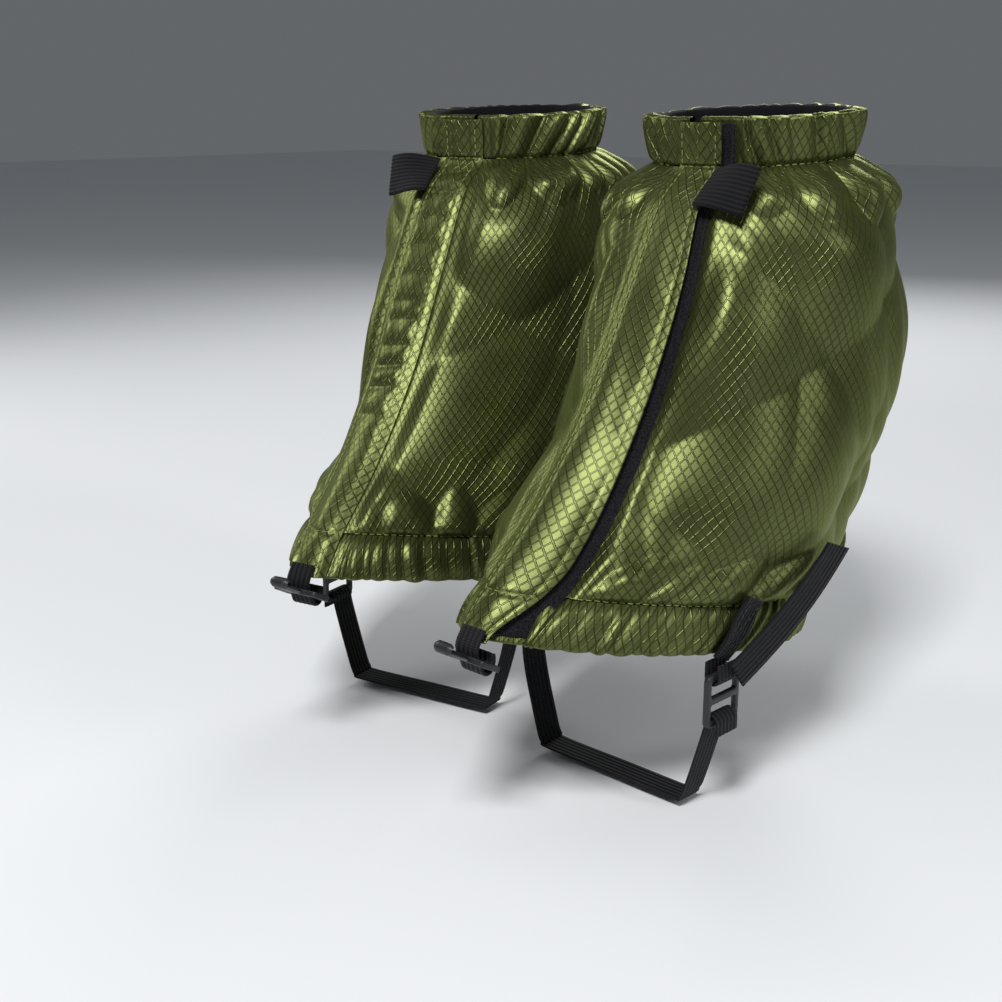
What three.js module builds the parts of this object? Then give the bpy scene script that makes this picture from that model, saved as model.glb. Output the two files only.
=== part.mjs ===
// A pair of short hiking gaiters, worn over low boots, in millimetres.
// +Z is up, the toes point to -Y and the wearer's left foot is at +X.
// The origin is on the ground, midway between the ankles.
import * as THREE from "three";
import { mergeVertices } from "three/addons/utils/BufferGeometryUtils.js";

// ---- driving dimensions -------------------------------------------------------------------------
// Where each gaiter stands: its ankle's place on the ground, and how far its toe turns in, in degrees.
const STANCE = {
  left: { x: 67, y: 0, turnIn: 5 },
  right: { x: -67, y: 12, turnIn: 8 },
};
const FABRIC = 1.0;
const GAP = 0.4;
const LAYER = FABRIC + GAP;
const TAPE = 1.0;
const LINING_EASE = 0.4;

// The flap that covers the front opening, across the front centre line.
const FLAP_ROOT = -7;
const FLAP_FREE = 18;
const UNDERLAP_END = -1.5;
const UNDERLAP_STEP = 6;
const SEAM_GAP = 0.5;
const ROUND_STEPS = 28;
const TAPE_INSET = 3;

// Where the casings meet the body, as positions along the section list below.
const HEM_SEAM = 1;
const COLLAR_SEAM = 6;
const COLLAR_TOP = 7;

// Webbing and hardware.
const WEBBING_WIDTH = 15;
const WEBBING = 1.6;
const STRAP_WIDTH = 14;
const STRAP = 1.2;
const BUCKLE_HEIGHT = 22;
const BUCKLE_WIDTH = 21;
const BUCKLE_DEPTH = 3.2;
const BUCKLE_BAR = 3;
const STRAP_Y = -62;
const STRAP_UNDER = 3.4;
const SOLE_HALF = 36;

// ---- body form ----------------------------------------------------------------------------------
// Each section is a tilted ellipse: its front and back points as (y, z), its half width in x, and
// how far its front is drawn to a point over the instep, from 0 for a plain ellipse.
const SECTIONS = [
  { front: [-150, 85], back: [42, 47], half: 49, point: 0.4 },
  { front: [-137, 101], back: [48, 68], half: 53, point: 0.48 },
  { front: [-108, 128], back: [71, 103], half: 58, point: 0.48 },
  { front: [-80, 162], back: [84, 146], half: 59, point: 0.32 },
  { front: [-55, 205], back: [86, 198], half: 58.5, point: 0.12 },
  { front: [-37, 236], back: [81, 238], half: 53, point: 0 },
  { front: [-22, 250], back: [59, 256], half: 40.5, point: 0 },
  { front: [-22, 269], back: [59, 274], half: 40.5, point: 0 },
];
const LAST = SECTIONS.length - 1;
const line = (key) => new THREE.CatmullRomCurve3(
  SECTIONS.map((s) => new THREE.Vector3(0, ...s[key])), false, "catmullrom");
const FRONT = line("front");
const BACK = line("back");
const HALF = new THREE.CatmullRomCurve3(
  SECTIONS.map((s, i) => new THREE.Vector3(s.half, i, s.point)), false, "catmullrom");
const pointAt = (place) => HALF.getPoint(place / LAST).z;

// The distance from the centre plane at an angle, for a half width.
function across(angle, place, half) {
  return half * Math.sin(angle) * (1 - pointAt(place) * Math.max(Math.cos(angle), 0) ** 2);
}

// The point on the body at an angle from the front, a place along the sections, and an inset.
function skin(angle, place, inset = 0) {
  const t = place / LAST;
  const front = FRONT.getPoint(t);
  const back = BACK.getPoint(t);
  const half = HALF.getPoint(t).x - inset;
  const reach = front.clone().sub(back).multiplyScalar(0.5);
  const length = reach.length();
  const point = front.add(back).multiplyScalar(0.5);
  point.addScaledVector(reach, ((length - inset) / length) * Math.cos(angle));
  point.x = across(angle, place, half);
  return point;
}

// The angle at which the skin stands x millimetres from the centre plane, near the front.
function angleAt(x, place) {
  const share = x / HALF.getPoint(place / LAST).x;
  const point = pointAt(place);
  let sine = share;
  for (const _ of Array(12)) {
    const slope = 1 - point + 3 * point * sine ** 2;
    sine -= (sine * (1 - point) + point * sine ** 3 - share) / slope;
  }
  return Math.asin(sine);
}

const steps = (from, to, count) => Array.from(
  { length: count + 1 }, (_, i) => from + ((to - from) * i) / count);

// Places between two ends, on one grid for all the layers, so that their facets lie parallel.
const ROW = 0.5;
function rows(from, to) {
  const places = [from];
  for (let k = Math.ceil(from / ROW + 0.2); k * ROW < to - 0.1; k++) places.push(k * ROW);
  places.push(to);
  return places;
}

// ---- solids -------------------------------------------------------------------------------------
// A bent strip swept along: rings is a list of { outer, inner }, each a list of points of one length.
function strip(rings) {
  const m = rings[0].outer.length;
  const loop = 2 * m;
  const positions = [];
  for (const ring of rings) {
    for (const p of [...ring.outer, ...ring.inner.slice().reverse()]) positions.push(p.x, p.y, p.z);
  }
  const index = [];
  for (let r = 0; r < rings.length - 1; r++) {
    for (let i = 0; i < loop; i++) {
      const a = r * loop + i;
      const b = r * loop + ((i + 1) % loop);
      index.push(a, b, b + loop, a, b + loop, a + loop);
    }
  }
  for (let i = 0; i < m - 1; i++) {
    const [a, b, c, d] = [i, i + 1, loop - 2 - i, loop - 1 - i];
    const end = (rings.length - 1) * loop;
    index.push(a, c, b, a, d, c);
    index.push(end + a, end + b, end + c, end + a, end + c, end + d);
  }
  const geometry = new THREE.BufferGeometry();
  geometry.setAttribute("position", new THREE.Float32BufferAttribute(positions, 3));
  geometry.setIndex(index);
  return outward(geometry);
}

// Turns every face over if the closed geometry has them pointing in.
function outward(geometry) {
  const p = geometry.getAttribute("position");
  const index = geometry.getIndex();
  const [a, b, c] = [new THREE.Vector3(), new THREE.Vector3(), new THREE.Vector3()];
  let volume = 0;
  for (let i = 0; i < index.count; i += 3) {
    a.fromBufferAttribute(p, index.getX(i));
    b.fromBufferAttribute(p, index.getX(i + 1));
    c.fromBufferAttribute(p, index.getX(i + 2));
    volume += a.dot(b.cross(c));
  }
  if (volume < 0) flip(geometry);
  return geometry;
}

function flip(geometry) {
  const index = geometry.getIndex();
  for (let i = 0; i < index.count; i += 3) {
    const second = index.getX(i + 1);
    index.setX(i + 1, index.getX(i + 2));
    index.setX(i + 2, second);
  }
}

// An extrusion with its shared vertices merged, so that it can be turned over.
function extruded(shape, depth, curveSegments = 4) {
  const geometry = new THREE.ExtrudeGeometry(shape, { depth, bevelEnabled: false, curveSegments });
  geometry.deleteAttribute("normal");
  geometry.deleteAttribute("uv");
  return mergeVertices(geometry.translate(0, 0, -depth / 2));
}

// A flat ribbon along a path of points: width runs along `across`, thickness along `out(i)`.
function ribbon(path, across, width, thickness) {
  const side = across.clone().normalize().multiplyScalar(width / 2);
  return strip(path.map((p, i) => {
    const before = path[Math.max(i - 1, 0)];
    const after = path[Math.min(i + 1, path.length - 1)];
    const out = after.clone().sub(before).cross(side).normalize().multiplyScalar(thickness / 2);
    return {
      outer: [p.clone().add(side).add(out), p.clone().sub(side).add(out)],
      inner: [p.clone().add(side).sub(out), p.clone().sub(side).sub(out)],
    };
  }));
}

const v = (x, y, z) => new THREE.Vector3(x, y, z);

// ---- fabric pieces ------------------------------------------------------------------------------
// How far the wrapped panel is sunk under the flap, at an angle on the outer side of the front.
function sunk(x) {
  return 3 * LAYER * (1 - THREE.MathUtils.smoothstep(x, FLAP_FREE + 1, FLAP_FREE + 1 + UNDERLAP_STEP));
}

// Angles around the wrapped panel, from its end under the flap, round the back, to the flap's seam.
function wrapAngles(place) {
  const first = angleAt(UNDERLAP_END, place);
  const step = angleAt(FLAP_FREE + 1, place);
  const full = angleAt(FLAP_FREE + 1 + UNDERLAP_STEP, place);
  const last = 2 * Math.PI + angleAt(FLAP_ROOT - SEAM_GAP, place);
  const round = steps(full, last, ROUND_STEPS).slice(1);
  return [...steps(first, step, 3), ...steps(step, full, 3).slice(1), ...round];
}

// A layer of the wrapped panel between two places and two depths, whole or from one share of the
// way round to another. A part of it starts a seam gap after the part before it.
function wrapped(from, to, depth, thickness, start = 0, end = 1) {
  const places = rows(from, to);
  const angles = places.map((place) => {
    const all = wrapAngles(place);
    const some = all.slice(Math.round(start * (all.length - 1)), Math.round(end * (all.length - 1)) + 1);
    if (start > 0) some[0] += SEAM_GAP / HALF.getPoint(place / LAST).x;
    return some;
  });
  const rings = angles[0].map((_, k) => {
    const layer = (inset) => places.map((place, j) => {
      const angle = angles[j][k];
      const front = angle < Math.PI / 2;
      const x = across(angle, place, HALF.getPoint(place / LAST).x);
      return skin(angle, place, inset + (front ? sunk(x) : 0));
    });
    return { outer: layer(depth), inner: layer(depth + thickness) };
  });
  return strip(rings);
}

// The shell is four panels side by side, from the underlap round the outer side, heel and inner side.
const PANEL_ENDS = [0, 0.32, 0.54, 0.77, 1];
const shellPanel = (k) => () => wrapped(
  HEM_SEAM + 0.03, COLLAR_SEAM - 0.03, 0, FABRIC, PANEL_ENDS[k], PANEL_ENDS[k + 1]);
const lining = () => wrapped(HEM_SEAM + 0.03, COLLAR_SEAM - 0.03, LAYER + LINING_EASE, 0.8);

// A folded casing: outer wall, fold and inner wall round an elastic band.
function casing(edge, seam) {
  const depth = 3 * LAYER;
  const near = edge + (seam - edge) * 0.04;
  const places = [seam, (seam + edge) / 2, near];
  const angles = places.map(wrapAngles);
  const tips = wrapAngles(edge);
  const rings = angles[0].map((_, k) => {
    const at = (j, place, inset) => {
      const angle = j < 0 ? tips[k] : angles[j][k];
      const front = angle < Math.PI / 2;
      const x = across(angle, place, HALF.getPoint(place / LAST).x);
      return skin(angle, place, inset + (front ? sunk(x) : 0));
    };
    const outer = [0, 1, 2].map((j) => at(j, places[j], 0));
    outer.push(at(-1, edge, 1), at(-1, edge, depth - 1));
    outer.push(...[2, 1, 0].map((j) => at(j, places[j], depth)));
    const fold = edge + (seam - edge) * 0.07;
    const inner = [0, 1, 2].map((j) => at(j, j === 2 ? fold : places[j], FABRIC));
    inner.push(at(-1, fold, 1.3), at(-1, fold, depth - 1.3));
    inner.push(...[2, 1, 0].map((j) => at(j, j === 2 ? fold : places[j], depth - FABRIC)));
    return { outer, inner };
  });
  return strip(rings);
}

const collarCasing = () => casing(COLLAR_TOP, COLLAR_SEAM);
const hemCasing = () => casing(0, HEM_SEAM);

const bandInset = LAYER;
const bandThickness = LAYER - GAP;
const collarElastic = () => wrapped(COLLAR_SEAM + 0.1, COLLAR_TOP - 0.13, bandInset, bandThickness);
const hemElastic = () => wrapped(0.13, HEM_SEAM - 0.1, bandInset, bandThickness);

// A strip that follows the front between two x positions.
function frontStrip(left, right, from, to, depth, thickness) {
  const xs = steps(left, right, 5);
  return strip(rows(from, to).map((place) => {
    return {
      outer: xs.map((x) => skin(angleAt(x, place), place, depth)),
      inner: xs.map((x) => skin(angleAt(x, place), place, depth + thickness)),
    };
  }));
}

const flap = () => frontStrip(FLAP_ROOT, FLAP_FREE, 0, COLLAR_TOP, 0, FABRIC);
const hookTape = () => frontStrip(
  FLAP_ROOT + TAPE_INSET, FLAP_FREE - 0.5, 0.25, COLLAR_TOP - 0.15, LAYER, TAPE);
const loopTape = () => frontStrip(
  UNDERLAP_END + 1, FLAP_FREE - 0.5, 0.25, COLLAR_TOP - 0.15, 2 * LAYER, TAPE);

// ---- webbing and hardware -----------------------------------------------------------------------
// The pull tab stands out to the side from the flap, just under the collar seam.
const TAB_LENGTH = 25;
const TAB_WIDTH = 20;
const TAB_X = 12;
const TAB_LIFT = 4;
const TAB_DROP = 3;
function pullTab() {
  const low = skin(angleAt(TAB_X, 5), 5);
  const high = skin(angleAt(TAB_X, COLLAR_SEAM), COLLAR_SEAM);
  const across = high.clone().sub(low).normalize();
  const out = across.clone().cross(v(-1, 0, 0)).normalize();
  const root = low.lerp(high, 0.5).addScaledVector(out, TAB_LIFT);
  const path = steps(0, 1, 3).map((t) => root.clone()
    .add(v(TAB_LENGTH * t, 0, 0))
    .addScaledVector(out, 1.5 * Math.sin(Math.PI * t) - t)
    .addScaledVector(across, -TAB_DROP - 2 * t));
  return ribbon(path, across, TAB_WIDTH, 2.2);
}

// The hem's lateral point where the buckle's webbing leaves it.
const hemMiddle = (SECTIONS[0].front[0] + SECTIONS[0].back[0]) / 2;
const hemReach = (SECTIONS[0].back[0] - SECTIONS[0].front[0]) / 2;
const strapAngle = Math.acos((hemMiddle - STRAP_Y) / hemReach);
const hemLow = skin(strapAngle, 0, 0);
const hemHigh = skin(strapAngle, HEM_SEAM, 0);
const OUT = 1.4;
const LOOP_TOP = hemLow.z - 4.4;
const BUCKLE_TOP = LOOP_TOP - 1.1;
const BUCKLE_X = hemLow.x + 2.4;

// Webbing patch sewn on the outside of the hem casing.
function anchorPatch() {
  const at = (share, extra) => hemLow.clone().lerp(hemHigh, share).add(v(OUT + extra, 0, 0));
  return ribbon([at(-0.05, 0.2), at(0.5, 0.7), at(1.2, 1)], v(0, 1, 0), WEBBING_WIDTH + 3, WEBBING);
}

// The short webbing loop that carries the buckle: down its front, round the top bar and back.
function anchorLoop() {
  const bar = BUCKLE_TOP - BUCKLE_BAR / 2;
  const reach = BUCKLE_DEPTH / 2 + 1.5;
  const path = [v(BUCKLE_X - reach, STRAP_Y, LOOP_TOP)];
  for (const turn of steps(0, Math.PI, 6)) {
    path.push(v(BUCKLE_X - reach * Math.cos(turn), STRAP_Y, bar - reach * Math.sin(turn)));
  }
  path.push(v(BUCKLE_X + reach, STRAP_Y, LOOP_TOP));
  return ribbon(path, v(0, 1, 0), STRAP_WIDTH, STRAP);
}

// The sliding buckle: a rounded frame with two slots, standing upright.
function buckle() {
  const shape = new THREE.Shape();
  const [w, h] = [BUCKLE_WIDTH / 2, BUCKLE_HEIGHT];
  const corner = 2;
  shape.moveTo(-w + corner, 0);
  shape.lineTo(w - corner, 0);
  shape.quadraticCurveTo(w, 0, w, corner);
  shape.lineTo(w, h - corner);
  shape.quadraticCurveTo(w, h, w - corner, h);
  shape.lineTo(-w + corner, h);
  shape.quadraticCurveTo(-w, h, -w, h - corner);
  shape.lineTo(-w, corner);
  shape.quadraticCurveTo(-w, 0, -w + corner, 0);
  const slot = (h - 3 * BUCKLE_BAR) / 2;
  for (const low of [BUCKLE_BAR, 2 * BUCKLE_BAR + slot]) {
    const hole = new THREE.Path();
    const half = w - 2.4;
    hole.moveTo(-half, low);
    hole.lineTo(-half, low + slot);
    hole.lineTo(half, low + slot);
    hole.lineTo(half, low);
    hole.closePath();
    shape.holes.push(hole);
  }
  const geometry = extruded(shape, BUCKLE_DEPTH);
  geometry.rotateX(Math.PI / 2);
  geometry.rotateZ(Math.PI / 2);
  geometry.translate(BUCKLE_X, STRAP_Y, BUCKLE_TOP - BUCKLE_HEIGHT);
  return geometry;
}

// The stirrup: from the inner side of the hem, under the sole and up round the buckle's low bar.
function understrap() {
  const low = BUCKLE_TOP - BUCKLE_HEIGHT + BUCKLE_BAR / 2;
  const reach = BUCKLE_DEPTH / 2 + 1.5;
  const inner = -hemLow.x - 0.8;
  const path = [
    v(inner, STRAP_Y, LOOP_TOP),
    v(inner + 1.5, STRAP_Y, 40),
    v(-SOLE_HALF - 4.5, STRAP_Y, 12),
    v(-SOLE_HALF - 1.6, STRAP_Y, STRAP_UNDER + 1.6),
    v(-SOLE_HALF + 2, STRAP_Y, STRAP_UNDER),
    v(SOLE_HALF - 2, STRAP_Y, STRAP_UNDER),
    v(SOLE_HALF + 1.6, STRAP_Y, STRAP_UNDER + 1.6),
    v(SOLE_HALF + 4.5, STRAP_Y, 12),
    v(BUCKLE_X - reach, STRAP_Y, low - 4),
  ];
  for (const turn of steps(0, Math.PI, 6)) {
    path.push(v(BUCKLE_X - reach * Math.cos(turn), STRAP_Y, low + reach * Math.sin(turn)));
  }
  path.push(v(BUCKLE_X + reach, STRAP_Y, low - 5));
  return ribbon(path, v(0, 1, 0), STRAP_WIDTH, STRAP);
}

// The free end of the strap, from the buckle up and back over the outer side.
const TAIL_ROOT = v(BUCKLE_X + 5.4, STRAP_Y + 2, BUCKLE_TOP - 1.5);
const TAIL_TIP = v(65.5, -2, 106);
function strapTail() {
  const rise = TAIL_TIP.clone().sub(TAIL_ROOT);
  const path = steps(0, 1, 4).map((t) => TAIL_ROOT.clone()
    .addScaledVector(rise, t)
    .add(v(3 * Math.sin(Math.PI * t), 0, 0)));
  const across = rise.clone().cross(v(1, 0, 0));
  return ribbon(path, across, WEBBING_WIDTH, WEBBING);
}

// Webbing patch on the inner side of the hem, where the strap is sewn.
function innerPatch() {
  const at = (share, extra) => {
    const p = hemLow.clone().lerp(hemHigh, share);
    return v(-p.x - OUT - extra, p.y, p.z);
  };
  return ribbon([at(0.06, 0.2), at(0.5, 0.7), at(1.05, 0.8)], v(0, 1, 0), WEBBING_WIDTH + 3, WEBBING);
}

// Lace hook: a webbing keeper under the flap's tip and the hook that hangs in it.
const TIP = skin(0, 0, 0);
const HOOK_PIVOT = v(1.5, TIP.y + 3, TIP.z - 9);
function hookKeeper() {
  const path = [
    v(1.5, TIP.y + 1.6, TIP.z + 5),
    v(1.5, TIP.y - 2.4, TIP.z - 2),
    v(1.5, HOOK_PIVOT.y - 3.2, HOOK_PIVOT.z + 0.5),
    v(1.5, HOOK_PIVOT.y - 1.6, HOOK_PIVOT.z - 3),
    v(1.5, HOOK_PIVOT.y + 1.6, HOOK_PIVOT.z - 3),
    v(1.5, HOOK_PIVOT.y + 3.4, HOOK_PIVOT.z + 0.5),
    v(1.5, HOOK_PIVOT.y + 3.4, HOOK_PIVOT.z + 3.5),
  ];
  return ribbon(path, v(1, 0, 0), 12, 1.2);
}

// The hook lies forward and down from its pivot, along the tongue of the boot.
const HOOK_TILT = THREE.MathUtils.degToRad(-28);
const HOOK_WIDTH = 22;
const HOOK_THICK = 2.4;
// The hook is a flat plate with a window for the keeper and a curled lip that takes the lace.
function laceHook() {
  const shape = new THREE.Shape();
  const half = HOOK_WIDTH / 2;
  shape.moveTo(-half, -1.5);
  shape.lineTo(half, -1.5);
  shape.lineTo(half, 9.5);
  shape.lineTo(4.5, 9.5);
  shape.lineTo(4.5, 20);
  shape.lineTo(-4.5, 20);
  shape.lineTo(-4.5, 9.5);
  shape.lineTo(-half, 9.5);
  shape.closePath();
  const window = new THREE.Path();
  window.moveTo(-half + 2.6, 1.5);
  window.lineTo(-half + 2.6, 6.7);
  window.lineTo(half - 2.6, 6.7);
  window.lineTo(half - 2.6, 1.5);
  window.closePath();
  shape.holes.push(window);
  const plate = extruded(shape, HOOK_THICK);
  plate.rotateX(Math.PI + HOOK_TILT);
  return plate.translate(HOOK_PIVOT.x, HOOK_PIVOT.y, HOOK_PIVOT.z);
}

// ---- assembly -----------------------------------------------------------------------------------
const OLIVE = 0x6b7a2c;
const BLACK = 0x161616;
const CHARCOAL = 0x26282b;
const cloth = { color: OLIVE, roughness: 0.42, metalness: 0 };
const black = { color: BLACK, roughness: 0.85, metalness: 0 };
const plastic = { color: CHARCOAL, roughness: 0.45, metalness: 0 };

const PIECES = [
  ["shell_outer_front", shellPanel(0), cloth],
  ["shell_outer_back", shellPanel(1), cloth],
  ["shell_inner_back", shellPanel(2), cloth],
  ["shell_inner_front", shellPanel(3), cloth],
  ["lining", lining, black],
  ["collar_casing", collarCasing, cloth],
  ["collar_elastic", collarElastic, black],
  ["hem_casing", hemCasing, cloth],
  ["hem_elastic", hemElastic, black],
  ["flap", flap, cloth],
  ["hook_tape", hookTape, black],
  ["loop_tape", loopTape, black],
  ["pull_tab", pullTab, black],
  ["anchor_patch", anchorPatch, black],
  ["anchor_loop", anchorLoop, black],
  ["buckle", buckle, plastic],
  ["understrap", understrap, black],
  ["strap_tail", strapTail, black],
  ["inner_patch", innerPatch, black],
  ["hook_keeper", hookKeeper, black],
  ["lace_hook", laceHook, plastic],
];

const gaiters = new THREE.Group();
for (const [side, stance] of Object.entries(STANCE)) {
  const sign = Math.sign(stance.x);
  for (const [name, make, look] of PIECES) {
    const geometry = make();
    if (sign < 0) flip(geometry.scale(-1, 1, 1));
    const mesh = new THREE.Mesh(geometry, new THREE.MeshStandardMaterial(look));
    mesh.name = `${side}_${name}`;
    mesh.position.set(stance.x, stance.y, 0);
    mesh.rotation.z = -sign * THREE.MathUtils.degToRad(stance.turnIn);
    gaiters.add(mesh);
  }
}

export default gaiters;
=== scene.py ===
"""Looks of a pair of short hiking gaiters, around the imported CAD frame. Metres, +Z up, toes to -Y."""
import math

import bmesh
import bpy
import numpy as np
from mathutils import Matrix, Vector


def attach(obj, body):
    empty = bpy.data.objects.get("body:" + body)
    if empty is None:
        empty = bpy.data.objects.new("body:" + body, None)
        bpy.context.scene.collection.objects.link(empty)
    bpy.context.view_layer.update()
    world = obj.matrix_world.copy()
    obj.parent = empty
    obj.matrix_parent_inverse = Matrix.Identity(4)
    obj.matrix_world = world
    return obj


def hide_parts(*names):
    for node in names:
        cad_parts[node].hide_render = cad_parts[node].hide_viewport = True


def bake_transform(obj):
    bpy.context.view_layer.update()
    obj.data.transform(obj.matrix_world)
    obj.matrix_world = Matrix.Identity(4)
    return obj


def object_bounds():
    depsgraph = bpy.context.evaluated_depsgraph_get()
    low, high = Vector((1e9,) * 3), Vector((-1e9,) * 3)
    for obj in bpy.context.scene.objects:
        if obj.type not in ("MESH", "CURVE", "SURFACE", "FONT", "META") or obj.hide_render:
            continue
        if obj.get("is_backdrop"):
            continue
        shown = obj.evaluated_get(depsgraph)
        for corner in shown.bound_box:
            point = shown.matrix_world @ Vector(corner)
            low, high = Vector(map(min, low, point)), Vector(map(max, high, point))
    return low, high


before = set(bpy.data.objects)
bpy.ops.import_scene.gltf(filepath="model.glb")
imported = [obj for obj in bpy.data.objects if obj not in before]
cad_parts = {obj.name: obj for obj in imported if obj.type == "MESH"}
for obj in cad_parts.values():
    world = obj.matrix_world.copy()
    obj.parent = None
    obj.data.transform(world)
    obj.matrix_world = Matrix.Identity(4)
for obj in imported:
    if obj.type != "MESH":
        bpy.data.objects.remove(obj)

CAD_BOX = [list(corner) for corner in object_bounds()]
MM = 0.001

# ---- the form shared with the CAD ----------------------------------------------------------------
# Tilted ellipses: front and back as (y, z), half width, and how far the front is drawn to a point.
SECTIONS = [
    ((-150, 85), (42, 47), 49, 0.4),
    ((-137, 101), (48, 68), 53, 0.48),
    ((-108, 128), (71, 103), 58, 0.48),
    ((-80, 162), (84, 146), 59, 0.32),
    ((-55, 205), (86, 198), 58.5, 0.12),
    ((-37, 236), (81, 238), 53, 0),
    ((-22, 250), (59, 256), 40.5, 0),
    ((-22, 269), (59, 274), 40.5, 0),
]
HEM_SEAM, COLLAR_SEAM, COLLAR_TOP = 1, 6, 7
FLAP_ROOT, FLAP_FREE = -7.0, 18.0
UNDERLAP_END = -1.5
LAYER = 1.4
STRAP_Y = -62.0
STRAP_UNDER = 3.4
SOLE_HALF = 36.0
# Ankle x and y on the ground, turn-in in degrees, and +1 for the left gaiter or -1 for its mirror.
STANCE = {"left": (67, 0, 5, 1), "right": (-67, 12, 8, -1)}
KEYS = np.array([[*front, *back, half, point] for front, back, half, point in SECTIONS], float)


def section(place):
    """Front y, z, back y, z, half width and point at places along the sections."""
    place = np.clip(np.asarray(place, float), 0, len(KEYS) - 1)
    k = np.minimum(place.astype(int), len(KEYS) - 2)
    t = (place - k)[..., None]
    padded = np.vstack([2 * KEYS[0] - KEYS[1], KEYS, 2 * KEYS[-1] - KEYS[-2]])
    p0, p1, p2, p3 = (padded[k + i] for i in range(4))
    v0, v1 = (p2 - p0) / 2, (p3 - p1) / 2
    cubic = 2 * p1 - 2 * p2 + v0 + v1
    square = 3 * p2 - 3 * p1 - 2 * v0 - v1
    return ((cubic * t + square) * t + v0) * t + p1


def across(angle, place, inset=0.0):
    """Distance from the centre plane at an angle."""
    half, point = np.moveaxis(section(place), -1, 0)[4:]
    return (half - inset) * np.sin(angle) * (1 - point * np.maximum(np.cos(angle), 0) ** 2)


def skin(angle, place, inset=0.0):
    """Points of the body in the gaiter's own frame, in mm: angle 0 is the front, + the outer side."""
    fy, fz, by, bz = np.moveaxis(section(place), -1, 0)[:4]
    reach_y, reach_z = (fy - by) / 2, (fz - bz) / 2
    length = np.hypot(reach_y, reach_z)
    along = (length - inset) / length * np.cos(angle)
    return np.stack(np.broadcast_arrays(
        across(angle, place, inset),
        (fy + by) / 2 + reach_y * along,
        (fz + bz) / 2 + reach_z * along), -1)


def angle_at(x, place):
    """The angle, near the front, at which the body stands x mm from the centre plane."""
    half, point = np.moveaxis(section(place), -1, 0)[4:]
    share = np.clip(x / half, -1, 1)
    sine = share
    for _ in range(12):
        slope = 1 - point + 3 * point * sine ** 2
        sine = sine - (sine * (1 - point) + point * sine ** 3 - share) / slope
    return np.arcsin(np.clip(sine, -1, 1))


def smooth(x, low, high):
    t = np.clip((x - low) / (high - low), 0, 1)
    return t * t * (3 - 2 * t)


def to_row(side, points):
    """Points of a gaiter's own frame, in mm, placed in the row frame, in metres."""
    x0, y0, turn, sign = STANCE[side]
    a = -sign * math.radians(turn)
    p = np.asarray(points, float)
    x, y = p[..., 0] * sign, p[..., 1]
    return np.stack([x0 + x * math.cos(a) - y * math.sin(a),
                     y0 + x * math.sin(a) + y * math.cos(a), p[..., 2]], -1) * MM


# ---- camera, floor and light --------------------------------------------------------------------
CAMERA_AT = (0.3722, -0.5236, 0.274)
CAMERA_AZIMUTH, CAMERA_PITCH = 39.0, 15.5
LENS_MM = 51.45


def add_camera():
    data = bpy.data.cameras.new("camera")
    data.lens = LENS_MM
    data.sensor_width = 36
    camera = bpy.data.objects.new("camera", data)
    camera.location = CAMERA_AT
    camera.rotation_euler = (math.radians(90 - CAMERA_PITCH), 0, math.radians(CAMERA_AZIMUTH))
    bpy.context.scene.collection.objects.link(camera)
    bpy.context.scene.camera = camera


def area_light(name, at, target, size, power, colour=(1, 1, 1)):
    data = bpy.data.lights.new(name, "AREA")
    data.shape = "RECTANGLE"
    data.size, data.size_y = size
    data.energy = power
    data.color = colour
    lamp = bpy.data.objects.new(name, data)
    lamp.location = at
    aim = Vector(target) - Vector(at)
    lamp.rotation_euler = aim.to_track_quat("-Z", "Y").to_euler()
    bpy.context.scene.collection.objects.link(lamp)


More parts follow.
